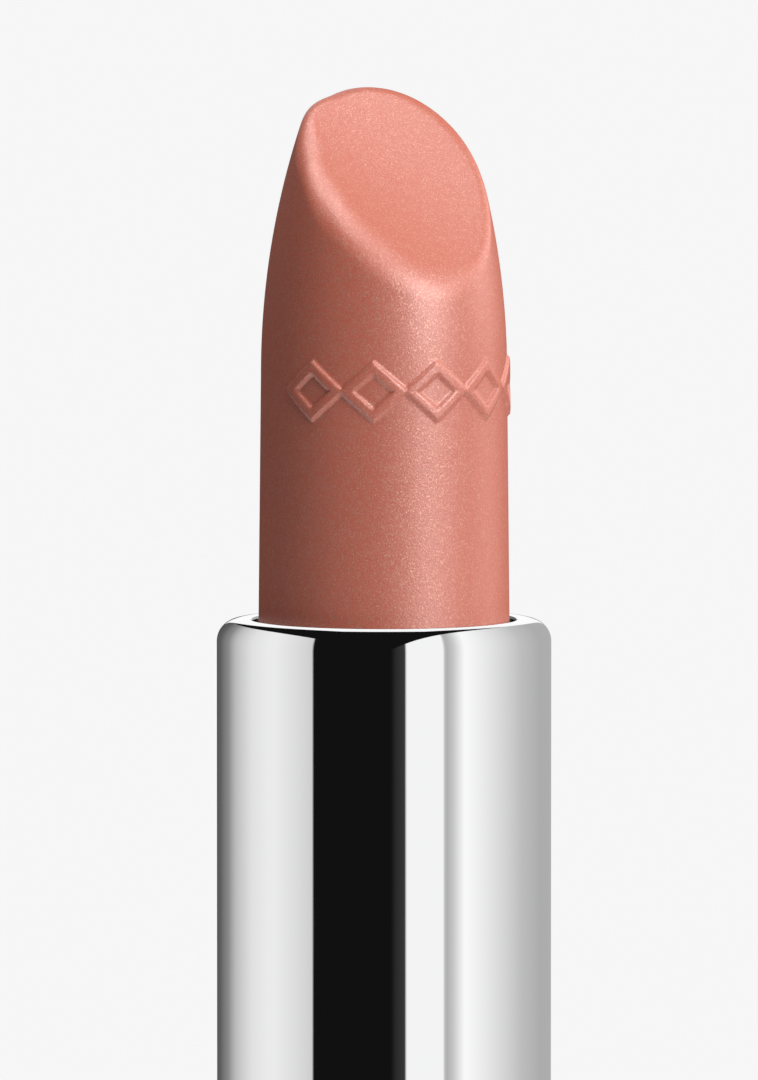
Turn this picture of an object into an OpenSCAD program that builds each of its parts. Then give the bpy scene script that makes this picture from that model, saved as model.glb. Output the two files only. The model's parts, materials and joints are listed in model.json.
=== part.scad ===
// Twist-up lipstick case, standing uncapped with the bullet raised, and its cap standing behind it.
// Millimetres, +Z up. The origin is on the case's axis, at the middle of the flat face it stands on.
// The radii are built up from the bullet outwards, and the mechanism hangs down from the sleeve's rim.

/* [Bullet] */
// Diameter of the bullet where it leaves the sleeve
bullet_d = 12; // [9:0.1:15]
// Length of the bullet's root that sits in the product cup
bullet_seat = 7.5; // [5:0.1:9]
// Height above the rim where the slanted cut crosses the axis
cut_height = 22.6; // [18:0.1:27]
// Slope of the slanted cut from level
cut_angle = 47.5; // [35:0.5:55]
// Direction that the slanted cut faces, turned from -Y towards +X
cut_heading = 23; // [0:1:359]
// Height above the rim where the side starts to curve in to the nose
nose_start = 11.8; // [10:0.1:15]
// Radius of the nose's side, seen square on
nose_radius = 38; // [26:0.5:40]
// Radius that the bullet loses from the rim to the start of its nose, so that it leaves its mould
bullet_draft = 0.12; // [0.05:0.01:0.2]

/* [Twist mechanism] */
// Height that the cup climbs in one turn of the sleeve
lead = 21; // [17:0.5:25]
// Turns of the sleeve from bullet raised to bullet retracted
turns = 1.25; // [1:0.05:1.5]
// Diameter of the two lugs that drive the carrier
lug_d = 1.7; // [1.3:0.1:2.1]
// Height of the carrier under the product cup
carrier_h = 5.4; // [4.5:0.1:6.5]
// Wall of the product cup
cup_wall = 0.44; // [0.3:0.01:0.6]
// Thickness of the product cup's floor
cup_floor = 0.5; // [0.4:0.05:0.8]
// Diameter of the stem that plugs the product cup into the carrier
stem_d = 6; // [4:0.1:8]
// Diameter of the vent through the cup's floor
vent_d = 1.5; // [1:0.1:2]
// Wall of the slotted guide tube
guide_wall = 0.5; // [0.4:0.05:0.8]
// Wall of the spiral cam
cam_wall = 0.5; // [0.45:0.05:0.8]
// Depth of the spiral grooves in the cam
groove_depth = 0.36; // [0.25:0.01:0.4]

/* [Sleeve and neck] */
// Wall of the polished metal sleeve
sleeve_wall = 0.4; // [0.3:0.05:0.6]
// Height of sleeve that shows above the neck
sleeve_show = 23.4; // [19:0.1:28]
// Radius of the rim's outer edge
rim_round = 1.05; // [0.8:0.05:1.3]
// Thickness of the rim where it turns in over the mechanism
rim_thick = 0.8; // [0.7:0.05:1]
// Height of the neck that the cap grips
neck_h = 2.6; // [2:0.1:3.2]
// Wall of the neck
neck_wall = 0.6; // [0.5:0.05:0.7]

/* [Base] */
// Height of the base
base_h = 28; // [24:0.5:34]
// Wall of the outer shells of the base and the cap
shell_wall = 0.9; // [0.8:0.05:1.3]
// Wall of the liner between the shell and the mechanism
liner_wall = 0.8; // [0.75:0.05:1.2]
// Thickness of the base shell's floor
floor_thick = 1.6; // [1.2:0.1:2]
// Radius of the colour disc let into the underside
disc_r = 7.5; // [6:0.1:8.5]

/* [Cap] */
// Height of the cap
cap_h = 46; // [38:0.5:56]
// Thickness of the cap shell's end
cap_end = 1.4; // [1.2:0.1:1.8]
// Thickness of the steel weight in the cap
cap_weight_h = 4; // [3:0.1:5]
// Place of the cap's axis beside the case, along X
cap_x = -31.5; // [-45:0.5:-24]
// Place of the cap's axis beside the case, along Y
cap_y = 37; // [0:0.5:45]

/* [Trim] */
// Height of the bright rings round the base's top and the cap's mouth
trim_h = 1.8; // [1.2:0.1:2.6]
// Thickness of those rings
trim_thick = 0.5; // [0.35:0.05:0.6]
// Radius of the shells' outer edges
edge_round = 0.6; // [0.4:0.05:0.9]

/* [Clearances] */
// Bullet in its cup
seat_gap = 0.02; // [0.01:0.01:0.05]
// Pieces pressed or glued together
press_gap = 0.01; // [0.01:0.01:0.03]
// Sleeve and cam turning on the guide tube
turn_gap = 0.05; // [0.03:0.01:0.1]
// Carrier sliding in the guide tube
slide_gap = 0.08; // [0.04:0.01:0.12]
// Soft rings rubbing on what they slow down or keep clean
rub_gap = 0.02; // [0.01:0.01:0.05]
// Lugs in their slots and grooves
lug_gap = 0.12; // [0.08:0.01:0.2]
// Ends of moving pieces, one above another
end_gap = 0.2; // [0.1:0.05:0.3]
// Bullet in the sleeve's mouth
mouth_gap = 0.3; // [0.2:0.05:0.5]
// Sleeve in the neck
neck_gap = 0.15; // [0.08:0.01:0.25]
// Sleeve in the base's liner and in the cap's liner
sleeve_gap = 0.3; // [0.2:0.05:0.4]

/* [Hidden] */
$fn = 96;
over = 1; // how far a cutting shape runs past what it cuts

// Radii, from the bullet outwards
bullet_r = bullet_d / 2;
cup_ir = bullet_r + seat_gap;
cup_r = cup_ir + cup_wall;
guide_ir = cup_r + slide_gap;
guide_r = guide_ir + guide_wall;
cam_ir = guide_r + turn_gap;
cam_r = cam_ir + cam_wall;
sleeve_ir = cam_r + press_gap;
sleeve_r = sleeve_ir + sleeve_wall;
mouth_r = bullet_r + mouth_gap;
neck_ir = sleeve_r + neck_gap;
neck_r = neck_ir + neck_wall;
liner_ir = sleeve_r + sleeve_gap;
liner_r = liner_ir + liner_wall;
shell_ir = liner_r + press_gap;
shell_r = shell_ir + shell_wall;
trim_ir = shell_r - trim_thick;

stem_r = stem_d / 2;
lug_r = lug_d / 2;

// Levels of the sleeve and the raised carriage, from the rim down
rim_z = base_h + neck_h + sleeve_show;
lip_z = rim_z - rim_thick;
guide_top = lip_z - end_gap;
bead_h = 0.7;
guide_bead_r = guide_r + 0.3; // the snap bead that keeps the cam down
cam_top = guide_top - bead_h - end_gap;
cup_top = guide_top - press_gap;
cup_floor_z = cup_top - bullet_seat - seat_gap;
carrier_top = cup_floor_z - cup_floor;
carrier_z = carrier_top - carrier_h;
lug_z = carrier_z + carrier_h / 2;

// Levels of the guide tube's foot and the base, below the retracted carriage
travel = lead * turns;
guide_floor = 1;
guide_vent_r = 1.5;
guide_floor_z = carrier_z - travel - 0.75 - guide_floor;
flange_h = 1.5;
flange_z = guide_floor_z;
flange_top = flange_z + flange_h;
flange_r = liner_ir - press_gap;
washer_h = 0.6;
washer_top = flange_top + washer_h;
cam_z = washer_top + turn_gap;
sleeve_z = flange_top + end_gap;
plug_h = 3;
plug_z = flange_z - plug_h;
plug_r = guide_r + 0.35;
plug_wall = 1;
plug_floor = 1;
pad_h = 0.5;
disc_h = 0.4; // the colour disc, flush with the underside
weight_top = plug_z - pad_h;
weight_r = liner_r - 0.3;

// Lugs, slots and grooves
lug_reach = cam_ir + groove_depth - 0.1;
slot_w = lug_d + 2 * lug_gap;
groove_slope = atan(lead / (2 * PI * (cam_ir + groove_depth / 2)));
groove_half = (lug_r + lug_gap) / cos(groove_slope);
groove_end = 9; // degrees of groove past the lug's middle at each end of its travel
groove_step = 7.5; // degrees between the rings of the groove's sweep

// Brake ring's seat, near the carrier's upper edge
brake_r = 0.4;
brake_z = carrier_top - 0.7;
brake_mid_r = guide_ir - rub_gap - brake_r;
brake_seat_r = brake_mid_r - brake_r - press_gap;

// Keys that stop the guide tube turning in the base
key_count = 6;
key_w = 1.2;
key_depth = 0.5;

// Neck's flange on the liner's top edge, and the seal under it
neck_flange_h = 0.8;
seal_h = 0.9;
seal_r = liner_ir + liner_wall / 2;

// Snap bead round the neck, and its groove in the cap
bead_r = 0.25;
neck_bead_r = neck_r + 0.15;
neck_bead_z = neck_h / 2;

// Levels in the cap, from its mouth up
cap_disc_h = 0.5;
cap_pad_h = 0.6;
cap_end_z = cap_h - cap_end;
cap_weight_z = cap_end_z - cap_weight_h;
cap_pad_z = cap_weight_z - cap_pad_h;
cap_liner_end = 1;
grip_count = 8;
grip_h = 16;
grip_r = 0.5;

// ---- Shapes used by several pieces ----

module disc(r, z_from, z_to) {
    translate([0, 0, z_from]) cylinder(r = r, h = z_to - z_from);
}

module tube(r_out, r_in, z_from, z_to) {
    difference() {
        disc(r_out, z_from, z_to);
        disc(r_in, z_from - over, z_to + over);
    }
}

// Half section of a round bar of radius r, its ends' outer edges rounded
module bar_section(r, z_from, z_to, low_round, high_round) {
    translate([0, z_from + low_round]) square([r, z_to - z_from - low_round - high_round]);
    translate([0, z_from]) square([r - low_round, low_round]);
    translate([r - low_round, z_from + low_round]) circle(low_round);
    translate([0, z_to - high_round]) square([r - high_round, high_round]);
    translate([r - high_round, z_to - high_round]) circle(high_round);
}

// Half section of what rounds off the top edge of a hole of radius r
module hole_edge_section(r, z_top, edge) {
    difference() {
        translate([r - edge / 2, z_top - edge]) square([edge * 1.5, edge + over]);
        translate([r + edge, z_top - edge]) circle(edge);
    }
}

// Bars laid out evenly round the axis, each reaching from r_from to r_to
module spokes(count, r_from, r_to, width, z_from, z_to) {
    for (i = [0 : count - 1])
        rotate([0, 0, (i + 0.5) * 360 / count])
            translate([r_from, -width / 2, z_from]) cube([r_to - r_from, width, z_to - z_from]);
}

// ---- Carriage: what rises and sinks ----

module bullet() {
    nose_r = bullet_r - bullet_draft;
    root_z = cup_floor_z + seat_gap;
    nose_z = rim_z + nose_start;
    color("rosybrown")
        difference() {
            rotate_extrude() {
                polygon([[0, root_z], [bullet_r, root_z], [bullet_r, rim_z], [nose_r, nose_z], [0, nose_z]]);
                intersection() {
                    translate([nose_r - nose_radius, nose_z]) circle(nose_radius, $fn = 240);
                    translate([0, nose_z]) square([bullet_r, nose_radius]);
                }
            }
            translate([0, 0, rim_z + cut_height])
                rotate([cut_angle, 0, cut_heading])
                    translate([-nose_radius, -nose_radius, 0]) cube(2 * nose_radius);
        }
}

module product_cup() {
    color("silver")
        difference() {
            union() {
                tube(cup_r, cup_ir, cup_floor_z, cup_top);
                disc(cup_r, carrier_top, cup_floor_z);
                disc(stem_r, carrier_top - carrier_h / 2, cup_floor_z);
            }
            disc(vent_d / 2, carrier_z, cup_top);
        }
}

module carrier() {
    color("ivory")
        difference() {
            union() {
                disc(cup_r, carrier_z, carrier_top);
                for (side = [0, 180])
                    rotate([0, 90, side])
                        translate([-lug_z, 0, stem_r + over]) cylinder(r = lug_r, h = lug_reach - stem_r - over);
            }
            disc(stem_r + press_gap, carrier_z - over, carrier_top + over);
            tube(cup_r + over, brake_seat_r, brake_z - brake_r - press_gap, brake_z + brake_r + press_gap);
        }
}

module brake_ring() {
    color("whitesmoke")
        rotate_extrude() translate([brake_mid_r, brake_z]) circle(brake_r, $fn = 24);
}

// ---- Sleeve: what the upper hand turns ----

module sleeve() {
    color("gainsboro")
        rotate_extrude()
            difference() {
                bar_section(sleeve_r, sleeve_z, rim_z, 0.1, rim_round);
                translate([0, sleeve_z - over]) square([sleeve_ir, lip_z - sleeve_z + over]);
                translate([0, lip_z - over]) square([mouth_r, rim_thick + 2 * over]);
                hole_edge_section(mouth_r, rim_z, rim_thick / 4);
            }
}

// One spiral groove: a right-hand sweep of a rectangle, cut into the cam's bore
module spiral_groove() {
    rings = ceil((360 * turns + 2 * groove_end) / groove_step);
    r_from = cam_ir - 0.4;
    r_to = cam_ir + groove_depth;
    points = [
        for (i = [0 : rings])
            let (a = -360 * turns - groove_end + i * (360 * turns + 2 * groove_end) / rings, z = lug_z + lead * a / 360)
                for (corner = [[r_from, -groove_half], [r_to, -groove_half], [r_to, groove_half], [r_from, groove_half]])
                    [corner[0] * cos(a), corner[0] * sin(a), z + corner[1]]
    ];
    sides = [
        for (i = [0 : rings - 1], k = [0 : 3])
            let (a = 4 * i + k, b = 4 * i + (k + 1) % 4)
                each [[a, b, a + 4], [b, b + 4, a + 4]]
    ];
    last = 4 * rings;
    ends = [[3, 2, 1, 0], [last, last + 1, last + 2, last + 3]];
    polyhedron(points, concat(sides, ends));
}

module spiral_cam() {
    color("white")
        difference() {
            tube(cam_r, cam_ir, cam_z, cam_top);
            for (side = [0, 180]) rotate([0, 0, side]) spiral_groove();
        }
}

// ---- Base: what the lower hand holds ----

module guide_tube() {
    color("white")
        difference() {
            union() {
                rotate_extrude()
                    difference() {
                        union() {
                            translate([0, plug_z]) square([plug_r, flange_top - plug_z]);
                            translate([0, flange_z]) square([flange_r, flange_h]);
                            translate([0, flange_z]) square([guide_r, guide_top - flange_z]);
                            translate([0, guide_top - bead_h]) square([guide_bead_r, bead_h]);
                        }
                        translate([0, guide_floor_z + guide_floor]) square([guide_ir, guide_top]);
                        translate([0, plug_z - over]) square([plug_r - plug_wall, plug_h - plug_floor + over]);
                        square([guide_vent_r, guide_top]);
                    }
                spokes(key_count, plug_r - plug_wall / 2, plug_r + key_depth, key_w, plug_z, flange_z + flange_h / 2);
            }
            translate([-guide_r - over, -slot_w / 2, lug_z - travel - lug_r - lug_gap])
                cube([2 * (guide_r + over), slot_w, travel + 2 * (lug_r + lug_gap)]);
        }
}

module drag_washer() {
    color("dimgray") tube(cam_r, guide_r + press_gap, flange_top, washer_top);
}

module base_liner() {
    color("darkslategray")
        difference() {
            disc(liner_r, plug_z, base_h - neck_flange_h);
            disc(plug_r + press_gap, plug_z - over, flange_z + over);
            disc(liner_ir, flange_z, base_h);
            disc(seal_r + press_gap, base_h - neck_flange_h - seal_h, base_h);
            spokes(key_count, plug_r - over, plug_r + key_depth + press_gap, key_w + 2 * press_gap, plug_z - over, flange_z + over);
        }
}

module neck_seal() {
    color("dimgray") tube(seal_r, sleeve_r + rub_gap, base_h - neck_flange_h - seal_h, base_h - neck_flange_h);
}

module neck_collar() {
    color("gainsboro")
        rotate_extrude()
            difference() {
                union() {
                    bar_section(neck_r, base_h - neck_flange_h / 2, base_h + neck_h, 0.1, 0.3);
                    translate([0, base_h - neck_flange_h]) square([liner_r, neck_flange_h]);
                    translate([neck_bead_r - bead_r, base_h + neck_bead_z]) circle(bead_r, $fn = 24);
                }
                translate([0, base_h - neck_flange_h - over]) square([neck_ir, neck_h + neck_flange_h + 2 * over]);
            }
}

module base_trim_ring() {
    color("gainsboro")
        rotate_extrude()
            difference() {
                bar_section(shell_r, base_h - trim_h, base_h, 0.08, 0.2);
                translate([0, base_h - trim_h - over]) square([trim_ir, trim_h + 2 * over]);
            }
}

module base_shell() {
    color([0.02, 0.02, 0.025])
        rotate_extrude()
            difference() {
                bar_section(shell_r, 0, base_h, edge_round, 0.05);
                translate([0, floor_thick]) square([shell_ir, base_h]);
                translate([trim_ir - press_gap, base_h - trim_h - press_gap]) square([shell_wall + over, trim_h + over]);
                translate([0, -over]) square([disc_r + press_gap, over + disc_h + press_gap]);
            }
}

module base_disc() {
    color("rosybrown") disc(disc_r, 0, disc_h);
}

module base_weight() {
    color("slategray")
        rotate_extrude() bar_section(weight_r, floor_thick, weight_top, 0.3, 0.3);
}

module base_weight_pad() {
    color("dimgray") disc(weight_r - 0.5, weight_top, plug_z);
}

// ---- Cap, standing mouth down on the same surface as the case ----

module at_cap() {
    translate([cap_x, cap_y, 0]) children();
}

module cap_shell() {
    color([0.02, 0.02, 0.025])
        at_cap()
            rotate_extrude()
                difference() {
                    bar_section(shell_r, 0, cap_h, 0.05, edge_round);
                    translate([0, -over]) square([shell_ir, cap_end_z + over]);
                    translate([trim_ir - press_gap, -over]) square([shell_wall + over, trim_h + press_gap + over]);
                    translate([0, cap_h - cap_disc_h]) square([disc_r + press_gap, over]);
                }
}

module cap_mouth_ring() {
    color("gainsboro")
        at_cap()
            rotate_extrude()
                difference() {
                    bar_section(shell_r, 0, trim_h, 0.2, 0.08);
                    translate([0, -over]) square([trim_ir, trim_h + 2 * over]);
                }
}

module cap_liner() {
    color("darkslategray")
        at_cap()
            difference() {
                disc(liner_r, 0.3, cap_pad_z);
                disc(liner_ir, -over, cap_pad_z - cap_liner_end);
                disc(neck_r + turn_gap, -over, neck_h + end_gap);
                tube(neck_bead_r + turn_gap, liner_ir, neck_bead_z - 2 * bead_r, neck_bead_z + 2 * bead_r);
                for (i = [0 : grip_count - 1])
                    rotate([0, 0, (i + 0.5) * 360 / grip_count])
                        translate([liner_ir, 0, neck_h + 2]) cylinder(r = grip_r, h = grip_h, $fn = 24);
            }
}

module cap_weight() {
    color("slategray")
        at_cap() rotate_extrude() bar_section(weight_r, cap_weight_z, cap_end_z, 0.3, 0.3);
}

module cap_weight_pad() {
    color("dimgray") at_cap() disc(weight_r - 0.5, cap_pad_z, cap_weight_z);
}

module cap_end_disc() {
    color("gainsboro")
        at_cap() rotate_extrude() bar_section(disc_r, cap_h - cap_disc_h, cap_h - 0.1, 0.05, 0.1);
}

bullet();
product_cup();
carrier();
brake_ring();
sleeve();
spiral_cam();
guide_tube();
drag_washer();
neck_collar();
neck_seal();
base_trim_ring();
base_liner();
base_shell();
base_weight();
base_weight_pad();
base_disc();
cap_shell();
cap_mouth_ring();
cap_liner();
cap_weight();
cap_weight_pad();
cap_end_disc();
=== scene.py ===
"""Looks of a twist-up lipstick case: slant-cut bullet wound up out of a mirror-polished sleeve, lacquered
base, and the cap standing behind it, in a small light tent on a pale floor. Metres, +Z up."""

import json
import math

import bpy
from mathutils import Matrix, Vector


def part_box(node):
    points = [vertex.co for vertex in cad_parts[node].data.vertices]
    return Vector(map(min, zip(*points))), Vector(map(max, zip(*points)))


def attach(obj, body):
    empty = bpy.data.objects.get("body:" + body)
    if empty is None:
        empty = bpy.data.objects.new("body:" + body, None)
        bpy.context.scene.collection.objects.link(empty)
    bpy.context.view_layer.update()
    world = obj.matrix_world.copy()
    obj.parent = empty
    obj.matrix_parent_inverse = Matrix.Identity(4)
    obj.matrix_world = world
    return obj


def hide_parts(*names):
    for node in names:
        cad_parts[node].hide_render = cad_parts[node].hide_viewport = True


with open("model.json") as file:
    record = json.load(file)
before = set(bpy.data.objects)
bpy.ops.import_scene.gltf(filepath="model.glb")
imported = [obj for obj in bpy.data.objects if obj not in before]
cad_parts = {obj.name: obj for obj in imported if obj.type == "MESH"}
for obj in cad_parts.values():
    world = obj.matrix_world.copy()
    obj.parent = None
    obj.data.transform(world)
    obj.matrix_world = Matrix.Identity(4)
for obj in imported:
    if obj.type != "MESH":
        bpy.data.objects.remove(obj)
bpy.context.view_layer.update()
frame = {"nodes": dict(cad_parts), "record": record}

MM = 0.001

# ---- Places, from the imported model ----


def outer_radius(node):
    low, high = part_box(node)
    return (high.x - low.x) / 2


def axis_of(node):
    low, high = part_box(node)
    return (low.x + high.x) / 2, (low.y + high.y) / 2


def span(node):
    """Lowest and highest level of a CAD node."""
    low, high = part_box(node)
    return low.z, high.z


CASE_AXIS = (0.0, 0.0)
CAP_AXIS = axis_of("cap_shell")
SLEEVE_R = outer_radius("sleeve")
RIM_Z = span("sleeve")[1]
BULLET_R = outer_radius("bullet")
SHELL_R = outer_radius("base_shell")

# ---- Shared shaping steps ----


def select_nothing():
    bpy.ops.object.select_all(action="DESELECT")


def rounded(corners, steps=10):
    """An outline whose corners (radius, height, rounding) become arcs where they have a rounding."""
    points = []
    for i, (r, z, rounding) in enumerate(corners):
        corner = Vector((r, z))
        if not rounding:
            points.append(corner)
            continue
        back = (Vector(corners[i - 1][:2]) - corner).normalized()
        ahead = (Vector(corners[(i + 1) % len(corners)][:2]) - corner).normalized()
        half_angle = back.angle(ahead) / 2
        centre = corner + (back + ahead).normalized() * rounding / math.sin(half_angle)
        first = corner + back * rounding / math.tan(half_angle) - centre
        turn = first.angle_signed(corner + ahead * rounding / math.tan(half_angle) - centre)
        for k in range(steps + 1):
            points.append(centre + Matrix.Rotation(-turn * k / steps, 2) @ first)
    return points


PIN = 0.001 * MM           # a pole is drawn in to this radius and then merged


def turned(name, outline, axis=CASE_AXIS, sides=256, crease=32):
    """A ring drawn from corner to corner of an outline of (radius, height) points, as if turned on a lathe.
    An outline that starts on the axis ends on it; any other closes on itself."""
    radius, height = max(outline[0][0], PIN), outline[0][1]
    path = list(outline[1:])
    if radius > PIN:
        path.append(outline[0])
    select_nothing()
    bpy.ops.mesh.primitive_circle_add(vertices=sides, radius=radius, location=(*axis, height))
    piece = bpy.context.object
    piece.name = name
    bpy.ops.object.transform_apply(location=True)
    bpy.ops.object.mode_set(mode="EDIT")
    bpy.ops.mesh.select_all(action="SELECT")
    for r, z in path:
        wider = max(r, PIN) / radius
        bpy.ops.mesh.extrude_region_move(TRANSFORM_OT_translate={"value": (0, 0, z - height)})
        bpy.ops.transform.resize(value=(wider, wider, 1), center_override=(*axis, z))
        radius, height = max(r, PIN), z
    bpy.ops.mesh.select_all(action="SELECT")
    bpy.ops.mesh.remove_doubles(threshold=2.1 * PIN)
    bpy.ops.mesh.normals_make_consistent(inside=False)
    bpy.ops.object.mode_set(mode="OBJECT")
    bpy.ops.object.shade_smooth_by_angle(angle=math.radians(crease))
    return piece


# ---- Materials ----


class Level:
    """A number in a material, so that shader maths can be written as an expression."""

    def __init__(self, finish, socket):
        self.finish = finish
        self.socket = socket

    def _maths(self, operation, first, second):
        return self.finish.add("ShaderNodeMath", {"operation": operation}, {0: first, 1: second})

    def __add__(self, other):
        return self._maths("ADD", self, other)

    def __sub__(self, other):
        return self._maths("SUBTRACT", self, other)

    def __rsub__(self, other):
        return self._maths("SUBTRACT", other, self)

    def __mul__(self, other):
        return self._maths("MULTIPLY", self, other)

    def __truediv__(self, other):
        return self._maths("DIVIDE", self, other)

    def __pow__(self, other):
        return self._maths("POWER", self, other)

    def above(self, other):
        return self._maths("GREATER_THAN", self, other)

    def at_least(self, other):
        return self._maths("MAXIMUM", self, other)

    __radd__ = __add__
    __rmul__ = __mul__


class Finish:
    """A material that is built node by node."""

    def __init__(self, name):
        self.material = bpy.data.materials.new(name)
        self.material.use_nodes = True
        self.tree = self.material.node_tree
        self.tree.nodes.clear()

    def add(self, kind, settings, sockets, output=0):
        """One node: its settings first, then the values or links of its sockets. Gives one output."""
        node = self.tree.nodes.new(kind)
        for setting, value in settings.items():
            if setting == "stops":
                self._stops(node.color_ramp, value)
            else:
                setattr(node, setting, value)
        for key, value in sockets.items():
            socket = node.inputs[key]
            if isinstance(value, Level):
                self.tree.links.new(value.socket, socket)
            else:
                socket.default_value = value
        return Level(self, node.outputs[output]) if node.outputs else None

    def _stops(self, ramp, stops):
        while len(ramp.elements) > 1:
            ramp.elements.remove(ramp.elements[-1])
        for i, (place, colour) in enumerate(stops):
            stop = ramp.elements[0] if i == 0 else ramp.elements.new(place)
            stop.position = place
            stop.color = colour

    def place(self):
        return self.add("ShaderNodeTexCoord", {}, {}, "Object")

    def noise(self, size, detail=2.0, roughness=0.5, place=None):
        """Cloudy values from 0 to 1, with lumps of about that size."""
        return self.add("ShaderNodeTexNoise", {},
                        {"Vector": place or self.place(), "Scale": 1 / size, "Detail": detail,
                         "Roughness": roughness}, "Fac")

    def blend(self, share, first, second):
        """A colour between two colours."""
        return self.add("ShaderNodeMix", {"data_type": "RGBA"}, {0: share, 6: first, 7: second}, 2)

    def bump(self, height, depth, strength=1.0):
        return self.add("ShaderNodeBump", {}, {"Height": height, "Distance": depth, "Strength": strength})

    def surface(self, **sockets):
        """The finished surface; underscores in a name stand for spaces."""
        named = {key.replace("_", " "): value for key, value in sockets.items()}
        shader = self.add("ShaderNodeBsdfPrincipled", {}, named)
        self.add("ShaderNodeOutputMaterial", {}, {"Surface": shader})
        return self.material


WAX = (0.54, 0.086, 0.036, 1)
WAX_PEARL = (0.95, 0.60, 0.47, 1)
FLAKE = 0.048 * MM         # across
FLAKE_RARITY = 4.5         # the higher, the fewer flakes glint


def lip_colour():
    """Rosewood wax with fine pearl: a satin sheen in which single flakes glint."""
    finish = Finish("lip_colour")
    flake = finish.add("ShaderNodeTexVoronoi", {"feature": "F1"},
                       {"Vector": finish.place(), "Scale": 1 / FLAKE}, "Color")
    pick = finish.add("ShaderNodeSeparateColor", {}, {0: flake}, 0)
    tilt = finish.add("ShaderNodeSeparateColor", {}, {0: flake}, 1)
    glint = pick ** FLAKE_RARITY
    cloud = finish.noise(0.5 * MM, detail=3)
    shade = finish.blend(glint * 0.55 + cloud * 0.06, WAX, WAX_PEARL)
    grain = finish.noise(0.09 * MM, detail=2)
    return finish.surface(
        Base_Color=shade,
        Metallic=glint * 0.70,
        Roughness=0.45,
        Normal=finish.bump(grain + tilt * glint * 0.3, 0.010 * MM),
        IOR=1.75,
        Specular_IOR_Level=0.9,
    )


def polished_metal():
    """Mirror-polished plate, with the faintest haze where fingers turn it."""
    finish = Finish("polished_metal")
    haze = finish.noise(6 * MM, detail=4)
    return finish.surface(
        Base_Color=(0.93, 0.93, 0.935, 1),
        Metallic=1.0,
        Roughness=0.018 + (haze - 0.45).at_least(0.0) * 0.08,
    )


def case_lacquer():
    """Deep black piano lacquer."""
    finish = Finish("case_lacquer")
    ripple = finish.noise(0.8 * MM, detail=2)
    haze = finish.noise(9 * MM, detail=4)
    return finish.surface(
        Base_Color=finish.blend(haze, (0.0055, 0.0055, 0.0062, 1), (0.0085, 0.0085, 0.009, 1)),
        Roughness=0.05 + haze * 0.05,
        Normal=finish.bump(ripple, 0.004 * MM),
        Coat_Weight=0.6,
        Coat_Roughness=0.03,
    )


def shade_disc():
    """Printed film in the lip colour."""
    finish = Finish("shade_disc")
    grain = finish.noise(0.12 * MM, detail=3)
    return finish.surface(
        Base_Color=finish.blend(grain, (0.50, 0.155, 0.11, 1), (0.58, 0.20, 0.15, 1)),
        Roughness=0.42 + grain * 0.12,
    )


def moulded(name, colour, lighter, roughness):
    """Moulded plastic or rubber, with a fine spark-eroded grain."""
    finish = Finish(name)
    grain = finish.noise(0.15 * MM, detail=3)
    cloud = finish.noise(4 * MM)
    return finish.surface(
        Base_Color=finish.blend(cloud, colour, lighter),
        Roughness=roughness + grain * 0.15,
        Normal=finish.bump(grain, 0.01 * MM),
    )


def drawn_metal(name, colour, grain_size):
    """Satin metal, brushed round its own upright axis."""
    finish = Finish(name)
    lines = finish.add("ShaderNodeMapping", {}, {"Vector": finish.place(), "Scale": (1, 1, 30)})
    brushing = finish.noise(grain_size, detail=3, place=lines)
    return finish.surface(
        Base_Color=finish.blend(brushing, colour, (0.86, 0.86, 0.87, 1)),
        Metallic=1.0,
        Roughness=0.22 + brushing * 0.15,
    )


FINISHES = {
    "lip_colour": lip_colour(),
    "polished_metal": polished_metal(),
    "case_lacquer": case_lacquer(),
    "shade_disc": shade_disc(),
    "natural_plastic": moulded("natural_plastic", (0.74, 0.73, 0.69, 1), (0.82, 0.81, 0.77, 1), 0.35),
    "dark_plastic": moulded("dark_plastic", (0.012, 0.012, 0.013, 1), (0.02, 0.02, 0.022, 1), 0.42),
    "soft_ring": moulded("soft_ring", (0.025, 0.025, 0.026, 1), (0.04, 0.04, 0.042, 1), 0.6),
    "cup_metal": drawn_metal("cup_metal", (0.72, 0.72, 0.73, 1), 1.5 * MM),
    "steel_weight": drawn_metal("steel_weight", (0.45, 0.45, 0.46, 1), 2.5 * MM),
}


UNMIRRORED = ("cap_", "bullet")   # how the CAD nodes start that the plating doesn't mirror


def finish_piece(piece, node, slot, body):
    """The piece stands for that CAD node, in one of the record's finishes, and moves with that body."""
    piece.visible_glossy = not node.startswith(UNMIRRORED)
    piece.data.materials.clear()
    piece.data.materials.append(FINISHES[slot])
    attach(piece, body)
    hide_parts(node)
    return piece


# ---- Bullet ----

CUT_HEIGHT = 22.6 * MM     # of the cut above the rim, on the axis
CUT_FALL_X = 0.40          # how fast it falls towards +X, on the axis
CUT_FALL_Y = 1.10          # and towards -Y
CUT_WIND = 0.040 / MM      # the cut winds a little,
CUT_HOLLOW = 0.035 / MM    # and is slightly hollow from back to front
CUT_ROUNDING = [(-180, 1.0), (-130, 0.95), (-95, 0.5), (-60, 1.4), (-30, 2.7), (0, 3.5), (30, 2.9),
                (60, 1.7), (95, 0.95), (130, 1.0), (180, 1.0)]   # of its edge in mm, by heading in degrees
NOSE_START = 11.76 * MM    # above the rim
NOSE_RADIUS = 38.1 * MM
NOSE_R = BULLET_R - 0.12 * MM

RELIEF_LOW = 9.55 * MM     # band of raised lozenges, above the rim
RELIEF_HIGH = 12.85 * MM
RELIEF_DEPTH = 0.15 * MM
LOZENGE_WIDE = 1.3 * MM    # half a lozenge's width and height, over the stroke's middle
LOZENGE_HIGH = 1.12 * MM
LOZENGE_STROKE = 0.24 * MM # half the stroke
LOZENGE_SOFT = 0.07 * MM
LOZENGE_PITCH = math.radians(30)
LOZENGE_FIRST = math.radians(-35)
LOZENGES = 7


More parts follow.
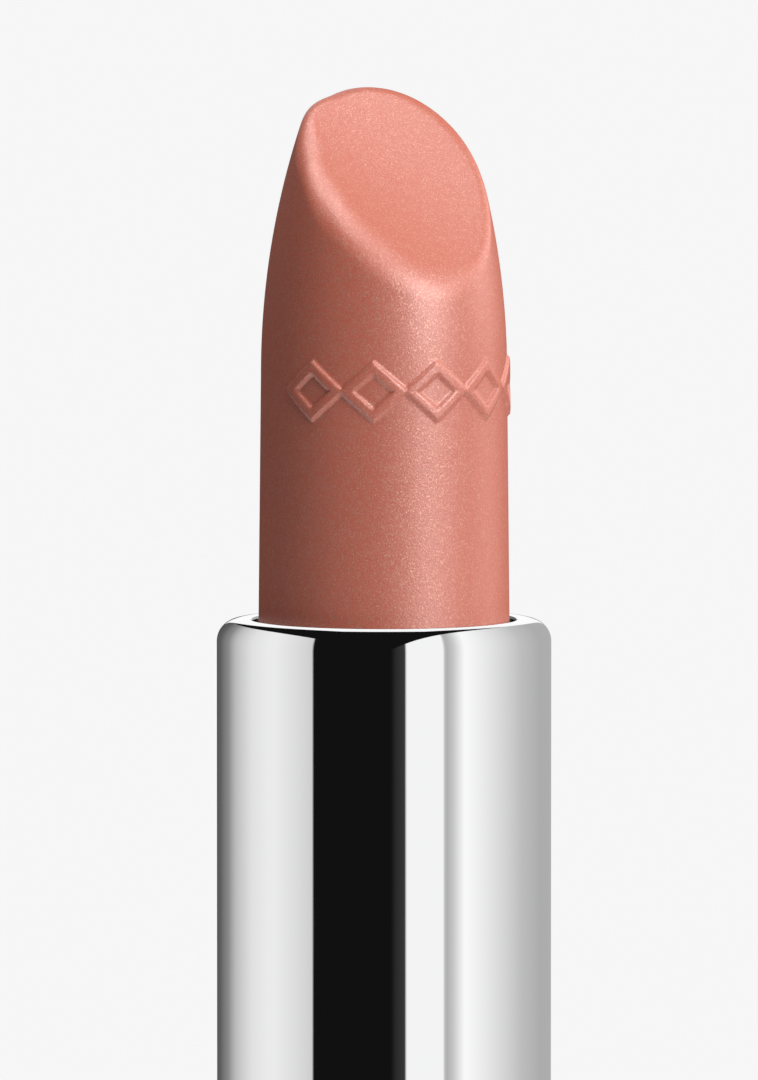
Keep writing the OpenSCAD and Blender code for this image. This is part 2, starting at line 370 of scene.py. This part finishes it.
def bullet_radius(z):
    """Half the bullet's width at a height above the rim, before the cut."""
    if z <= NOSE_START:
        return BULLET_R + (NOSE_R - BULLET_R) * max(z, 0) / NOSE_START
    return NOSE_R - NOSE_RADIUS + math.sqrt(max(NOSE_RADIUS ** 2 - (z - NOSE_START) ** 2, 0))


def relief(heading, z):
    """How far the raised lozenges stand out there."""
    nearest = round((heading - LOZENGE_FIRST) / LOZENGE_PITCH)
    nearest = min(max(nearest, 0), LOZENGES - 1)
    across = abs(heading - LOZENGE_FIRST - nearest * LOZENGE_PITCH) * NOSE_R / LOZENGE_WIDE
    up = abs(z - (RELIEF_LOW + RELIEF_HIGH) / 2) / LOZENGE_HIGH
    off_line = abs(across + up - 1) / math.hypot(1 / LOZENGE_WIDE, 1 / LOZENGE_HIGH)
    share = min(max((LOZENGE_STROKE + LOZENGE_SOFT - off_line) / (2 * LOZENGE_SOFT), 0), 1)
    return RELIEF_DEPTH * share * share * (3 - 2 * share)


def side_point(heading, z):
    """A point of the bullet's side, at a height above the rim."""
    r = bullet_radius(z)
    if RELIEF_LOW < z < RELIEF_HIGH:
        r += relief(heading, z)
    return Vector((r * math.sin(heading), -r * math.cos(heading), z))


def cut_point(heading, r):
    """A point of the slanting cut, at a distance from the axis."""
    x, y = r * math.sin(heading), -r * math.cos(heading)
    z = CUT_HEIGHT - CUT_FALL_X * x + CUT_FALL_Y * y + CUT_WIND * x * y + CUT_HOLLOW * y * y
    return Vector((x, y, z))


def cut_rounding(heading):
    """Radius of the cut's edge on one side, eased between the stated headings."""
    angle = (math.degrees(heading) + 180) % 360 - 180
    for (start, first), (end, last) in zip(CUT_ROUNDING, CUT_ROUNDING[1:]):
        if angle <= end:
            t = (angle - start) / (end - start)
            return (first + (last - first) * t * t * (3 - 2 * t)) * MM


def cut_edge(heading):
    """Height above the rim at which the side meets the cut."""
    low, high = NOSE_START / 2, NOSE_START + NOSE_RADIUS
    for _ in range(40):
        z = (low + high) / 2
        if z < cut_point(heading, bullet_radius(z)).z:
            low = z
        else:
            high = z
    return z


def bullet_line(heading):
    """The line up one side of the bullet, round the cut's edge and in to the axis."""
    step = 0.2 * MM
    edge = cut_edge(heading)
    corner = side_point(heading, edge)
    edge_r = bullet_radius(edge)
    down = (side_point(heading, edge - step) - corner).normalized()
    inward = (cut_point(heading, edge_r - step) - corner).normalized()
    half_angle = down.angle(inward) / 2
    reach = cut_rounding(heading) / math.tan(half_angle)
    before = side_point(heading, edge + reach * down.z)
    turn_r = edge_r - reach * inward.xy.length
    after = cut_point(heading, turn_r)

    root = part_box("bullet")[0].z - RIM_Z
    start = before.z
    line = [Vector((0, 0, root)), side_point(heading, root), side_point(heading, 0)]
    line += [side_point(heading, RELIEF_LOW * k / 14) for k in range(1, 15)]
    line += [side_point(heading, RELIEF_LOW + (RELIEF_HIGH - RELIEF_LOW) * k / 44) for k in range(1, 45)]
    line += [side_point(heading, RELIEF_HIGH + (start - RELIEF_HIGH) * k / 20) for k in range(1, 21)]
    pull = math.sin(half_angle)
    for k in range(1, 17):
        t = k / 16
        shares = (1 - t) ** 2, 2 * t * (1 - t) * pull, t * t
        line.append((before * shares[0] + corner * shares[1] + after * shares[2]) / sum(shares))
    line += [cut_point(heading, turn_r * (1 - k / 8)) for k in range(1, 9)]
    return line


def make_bullet():
    sides = 480
    headings = [2 * math.pi * i / sides - math.radians(130) for i in range(sides + 1)]
    lines = [bullet_line(h) for h in headings]
    rows = len(lines[0])
    select_nothing()
    bpy.ops.mesh.primitive_grid_add(x_subdivisions=sides, y_subdivisions=rows - 1, size=2)
    piece = bpy.context.object
    piece.name = "bullet_wax"
    for vertex in piece.data.vertices:
        column = round((vertex.co.x + 1) / 2 * sides)
        row = round((vertex.co.y + 1) / 2 * (rows - 1))
        vertex.co = lines[column][row] + Vector((0, 0, RIM_Z))
    bpy.ops.object.mode_set(mode="EDIT")
    bpy.ops.mesh.select_all(action="SELECT")
    bpy.ops.mesh.remove_doubles(threshold=1e-7)
    bpy.ops.mesh.normals_make_consistent(inside=False)
    bpy.ops.object.mode_set(mode="OBJECT")
    bpy.ops.object.shade_smooth()
    return finish_piece(piece, "bullet", "lip_colour", "carriage")


# ---- Sleeve, neck, base and cap ----

RIM_ROUND = 1.05 * MM
RIM_THICK = 0.8 * MM
MOUTH_R = BULLET_R + 0.3 * MM
SLEEVE_WALL = 0.4 * MM


def make_sleeve():
    low = span("sleeve")[0]
    inner = SLEEVE_R - SLEEVE_WALL
    outline = rounded([
        (SLEEVE_R, low, 0.1 * MM),
        (SLEEVE_R, RIM_Z, RIM_ROUND),
        (MOUTH_R, RIM_Z, 0.12 * MM),
        (MOUTH_R, RIM_Z - RIM_THICK, 0.2 * MM),
        (inner, RIM_Z - RIM_THICK, 0),
        (inner, low, 0.1 * MM),
    ], steps=16)
    return finish_piece(turned("sleeve_plated", outline), "sleeve", "polished_metal", "sleeve")


def make_neck():
    low, high = span("neck_collar")
    shoulder = span("base_shell")[1]
    foot_r = outer_radius("neck_collar")
    inner = SLEEVE_R + 0.15 * MM
    wall_r = inner + 0.6 * MM
    bead = 0.25 * MM
    bead_z = (shoulder + high) / 2
    outline = rounded([
        (foot_r, low, 0),
        (foot_r, shoulder, 0.06 * MM),
        (wall_r, shoulder, 0.08 * MM),
        (wall_r, bead_z - bead, 0.08 * MM),
        (wall_r + 0.15 * MM, bead_z - bead * 0.3, 0.1 * MM),
        (wall_r + 0.15 * MM, bead_z + bead * 0.3, 0.1 * MM),
        (wall_r, bead_z + bead, 0.08 * MM),
        (wall_r, high, 0.28 * MM),
        (inner, high, 0.12 * MM),
        (inner, low, 0),
    ], steps=6)
    return finish_piece(turned("neck_ring", outline), "neck_collar", "polished_metal", "base")


def make_trim(name, node, body, axis, outer_edge_low):
    """Bright ring; its outer edge is the softer one."""
    low, high = span(node)
    inner = SHELL_R - 0.5 * MM
    low_round, high_round = (0.2 * MM, 0.08 * MM) if outer_edge_low else (0.08 * MM, 0.2 * MM)
    outline = rounded([
        (SHELL_R, low, low_round),
        (SHELL_R, high, high_round),
        (inner, high, 0.05 * MM),
        (inner, low, 0.05 * MM),
    ], steps=6)
    return finish_piece(turned(name, outline, axis), node, "polished_metal", body)


def make_base_shell():
    low, high = span("base_shell")
    ring_low = span("base_trim_ring")[0]
    inner = SHELL_R - 0.9 * MM
    floor_top = low + 1.6 * MM
    disc_r = outer_radius("base_disc") + 0.01 * MM
    disc_top = span("base_disc")[1] + 0.01 * MM
    seat_r = SHELL_R - 0.51 * MM
    outline = rounded([
        (0, disc_top, 0),
        (disc_r, disc_top, 0),
        (disc_r, low, 0.12 * MM),
        (SHELL_R, low, 0.6 * MM),
        (SHELL_R, ring_low - 0.01 * MM, 0.06 * MM),
        (seat_r, ring_low - 0.01 * MM, 0),
        (seat_r, high, 0),
        (inner, high, 0),
        (inner, floor_top, 0.3 * MM),
        (0, floor_top, 0),
    ], steps=8)
    return finish_piece(turned("base_lacquer", outline), "base_shell", "case_lacquer", "base")


def make_base_disc():
    low, high = span("base_disc")
    radius = outer_radius("base_disc")
    groove = radius - 0.9 * MM
    outline = rounded([
        (0, low, 0),
        (groove - 0.12 * MM, low, 0.03 * MM),
        (groove, low + 0.08 * MM, 0.03 * MM),
        (groove + 0.12 * MM, low, 0.03 * MM),
        (radius, low, 0.08 * MM),
        (radius, high, 0),
        (0, high, 0),
    ], steps=4)
    return finish_piece(turned("shade_label", outline), "base_disc", "shade_disc", "base")


def make_cap_shell():
    low, high = span("cap_shell")
    ring_top = span("cap_mouth_ring")[1]
    inner = SHELL_R - 0.9 * MM
    end_z = high - 1.4 * MM
    disc_r = outer_radius("cap_end_disc") + 0.01 * MM
    disc_low = span("cap_end_disc")[0]
    seat_r = SHELL_R - 0.51 * MM
    outline = rounded([
        (0, end_z, 0),
        (inner, end_z, 0.2 * MM),
        (inner, low, 0),
        (seat_r, low, 0),
        (seat_r, ring_top + 0.01 * MM, 0),
        (SHELL_R, ring_top + 0.01 * MM, 0.06 * MM),
        (SHELL_R, high, 0.6 * MM),
        (disc_r, high, 0.1 * MM),
        (disc_r, disc_low, 0),
        (0, disc_low, 0),
    ], steps=8)
    return finish_piece(turned("cap_lacquer", outline, CAP_AXIS), "cap_shell", "case_lacquer", "cap")


def make_cap_disc():
    low, high = span("cap_end_disc")
    radius = outer_radius("cap_end_disc")
    groove = radius * 0.8
    outline = rounded([
        (0, low, 0),
        (radius, low, 0),
        (radius, high, 0.1 * MM),
        (groove + 0.15 * MM, high, 0.04 * MM),
        (groove, high - 0.1 * MM, 0.04 * MM),
        (groove - 0.15 * MM, high, 0.04 * MM),
        (0, high, 0),
    ], steps=4)
    return finish_piece(turned("cap_end_plate", outline, CAP_AXIS), "cap_end_disc", "polished_metal", "cap")


BULLET = make_bullet()
make_sleeve()
make_neck()
make_trim("base_ring", "base_trim_ring", "base", CASE_AXIS, False)
make_trim("cap_ring", "cap_mouth_ring", "cap", CAP_AXIS, True)
make_base_shell()
make_base_disc()
make_cap_shell()
make_cap_disc()

for entry in frame["record"]["subparts"]:
    node = frame["nodes"][entry["node"]]
    node.data.materials.clear()
    node.data.materials.append(FINISHES[entry["material_slot"]])
    node.visible_glossy = not entry["node"].startswith(UNMIRRORED)

# ---- Studio ----

ELEVATION = math.radians(3.9)
FRAME_HEIGHT = 51.6 * MM   # what the view's height spans at the case
LENS = 400.0               # millimetres, on Blender's 36 mm sensor
SENSOR = 36.0


def make_camera():
    distance = FRAME_HEIGHT * LENS / SENSOR
    aim = Vector((-0.24 * MM, 0, RIM_Z + 3.78 * MM))
    back = Vector((0, -math.cos(ELEVATION), math.sin(ELEVATION)))
    select_nothing()
    bpy.ops.object.camera_add(location=aim + back * distance)
    camera = bpy.context.object
    camera.rotation_euler = (math.pi / 2 - ELEVATION, 0, 0)
    camera.data.lens = LENS
    camera.data.sensor_width = SENSOR
    camera.data.clip_start = 0.01
    camera.data.clip_end = 100
    bpy.context.scene.camera = camera


def seen_by(obj, camera=False, diffuse=False, glossy=False):
    """Which rays meet a stage object. None of them casts a shadow."""
    obj.visible_camera = camera
    obj.visible_diffuse = diffuse
    obj.visible_glossy = glossy
    obj.visible_transmission = False
    obj.visible_volume_scatter = False
    obj.visible_shadow = False


def plain_glow(name, radiance):
    finish = Finish(name)
    light = finish.add("ShaderNodeEmission", {}, {"Color": (1, 1, 1, 1), "Strength": radiance})
    finish.add("ShaderNodeOutputMaterial", {}, {"Surface": light})
    return finish.material


FLOOR_ALBEDO = 0.3
FLOOR_GLOW = 0.838
BACKDROP = 0.935


def make_floor():
    """A wide pale floor, a small patch of it that the case mirrors, and a backdrop beyond it."""
    paint = Finish("pale_floor").surface(
        Base_Color=(FLOOR_ALBEDO, FLOOR_ALBEDO, FLOOR_ALBEDO, 1),
        Roughness=1.0,
        Specular_IOR_Level=0.0,
        Emission_Color=(1, 1, 1, 1),
        Emission_Strength=FLOOR_GLOW,
    )
    for name, radius, height, mirrored in (("floor", 30, 0, False), ("floor_patch", 0.15, -0.02 * MM, True)):
        select_nothing()
        bpy.ops.mesh.primitive_circle_add(vertices=128, radius=radius, fill_type="NGON",
                                          location=(0, 0, height))
        floor = bpy.context.object
        floor.name = name
        floor.data.materials.append(paint)
        seen_by(floor, camera=not mirrored, glossy=mirrored)
    select_nothing()
    bpy.ops.mesh.primitive_uv_sphere_add(radius=40, location=(0, 0, 0))
    backdrop = bpy.context.object
    backdrop.name = "backdrop"
    backdrop.data.materials.append(plain_glow("backdrop", BACKDROP))
    seen_by(backdrop, camera=True)


# What stands round the case, by heading from the camera's side in degrees, positive to its right
TENT = [
    (-180, 0.06), (-153, 0.11), (-135, 0.25), (-123, 0.50), (-103, 0.75), (-87, 0.83), (-80, 0.83),
    (-60, 0.70), (-50.5, 0.62), (-49.5, 0.0055), (5, 0.0055), (8, 0.022), (14.5, 0.04), (15.5, 0.9),
    (41, 0.9), (42.5, 0.40), (48, 0.55), (57, 0.96), (84, 0.72), (109, 0.51), (135, 0.41), (180, 0.41),
]
TENT_RADIUS = 1.5
TENT_GAIN = 1.07           # what the plating swallows
SLOT_LEFT = 0.6            # reach of the dark slot overhead to either side, as a share of the height
SLOT_RIGHT = 0.3
SLOT_SHADE = (0.0055, 0.0055, 0.0055, 1)
SWEEP_FOOT = 20            # the bright sweep behind starts where it is this many times as far off as high,
SWEEP_TOP = 1.0            # ends where it is this many times,
SWEEP_SPREAD = 0.12        # and reaches this share of that distance to either side
SWEEP_GLOW = 1.0


def tent_cloth():
    finish = Finish("tent_cloth")
    spot = {"Vector": finish.place()}
    x, y, z = (finish.add("ShaderNodeSeparateXYZ", {}, spot, axis) for axis in "XYZ")
    rise = z.at_least(0.0)
    half_heading = finish.add("ShaderNodeMath", {"operation": "ARCTAN2"}, {0: x, 1: TENT_RADIUS - y})
    stops = [((angle + 180) / 360, (light, light, light, 1)) for angle, light in TENT]
    cloth = finish.add("ShaderNodeValToRGB", {"stops": stops}, {0: half_heading / math.pi + 0.5})
    slot = (x + rise * SLOT_LEFT).above(0.0) * (rise * SLOT_RIGHT - x).above(0.0) * z.above(0.0)
    sweep = (y - rise * SWEEP_TOP).above(0.0) * (rise * SWEEP_FOOT - y).above(0.0)
    sweep = sweep * (y * SWEEP_SPREAD - x).above(0.0) * (y * SWEEP_SPREAD + x).above(0.0)
    light = finish.add("ShaderNodeEmission", {},
                       {"Color": finish.blend(slot, cloth, SLOT_SHADE), "Strength": TENT_GAIN})
    bright = finish.add("ShaderNodeEmission", {}, {"Color": (1, 1, 1, 1), "Strength": SWEEP_GLOW})
    mixed = finish.add("ShaderNodeMixShader", {}, {0: sweep, 1: light, 2: bright})
    finish.add("ShaderNodeOutputMaterial", {}, {"Surface": mixed})
    return finish.material


def make_tent():
    """The tent that the polished pieces mirror: cloth with a key window, a dark slot overhead and in front
    for the camera, and a bright sweep behind."""
    select_nothing()
    bpy.ops.mesh.primitive_uv_sphere_add(segments=128, ring_count=64, radius=TENT_RADIUS, location=(0, 0, 0))
    tent = bpy.context.object
    tent.name = "tent"
    tent.location = (0, 0, RIM_Z)
    tent.data.materials.append(tent_cloth())
    seen_by(tent, glossy=True)
    others = [obj for obj in bpy.data.objects if obj.type == "MESH" and obj != BULLET]
    tent.light_linking.receiver_collection = receivers("lit_by_tent", others)


def receivers(name, pieces):
    """The pieces that a light reaches, as light linking wants them."""
    group = bpy.data.collections.new(name)
    for piece in pieces:
        group.objects.link(piece)
    return group


def make_softbox(name, heading, low, high, half_width, radiance, distance=1.4):
    """A flat softbox that lights only the bullet, over a span of headings and heights in degrees."""
    angle = math.radians(heading)
    aim = Vector((0, 0, RIM_Z))
    rise = math.radians((low + high) / 2)
    place = aim + distance * Vector((math.sin(angle) * math.cos(rise), -math.cos(angle) * math.cos(rise),
                                     math.sin(rise)))
    select_nothing()
    bpy.ops.object.light_add(type="AREA", location=place)
    lamp = bpy.context.object
    lamp.name = name
    lamp.rotation_euler = (aim - place).to_track_quat("-Z", "Y").to_euler()
    lamp.data.shape = "RECTANGLE"
    lamp.data.size = 2 * distance * math.tan(math.radians(half_width))
    lamp.data.size_y = 2 * distance * math.tan(math.radians((high - low) / 2))
    lamp.data.energy = radiance * math.pi * lamp.data.size * lamp.data.size_y
    lamp.visible_camera = False
    lamp.light_linking.receiver_collection = SOFTBOX_LIT


WORLD_GLOW = 0.29


def make_world():
    world = bpy.data.worlds.new("studio")
    bpy.context.scene.world = world
    world.use_nodes = True
    background = world.node_tree.nodes["Background"]
    background.inputs["Color"].default_value = (1, 1, 1, 1)
    background.inputs["Strength"].default_value = WORLD_GLOW


make_camera()
make_floor()
make_tent()
SOFTBOX_LIT = receivers("lit_by_softboxes", [BULLET])
make_softbox("key_softbox", heading=44, low=0, high=42, half_width=15, radiance=6.6)
make_softbox("side_softbox", heading=112, low=-10, high=50, half_width=25, radiance=2.0)
make_softbox("back_softbox", heading=200, low=10, high=60, half_width=30, radiance=0.8)
make_softbox("top_softbox", heading=10, low=66, high=98, half_width=18, radiance=4.2)
make_world()
bpy.context.scene.view_settings.view_transform = "Standard"
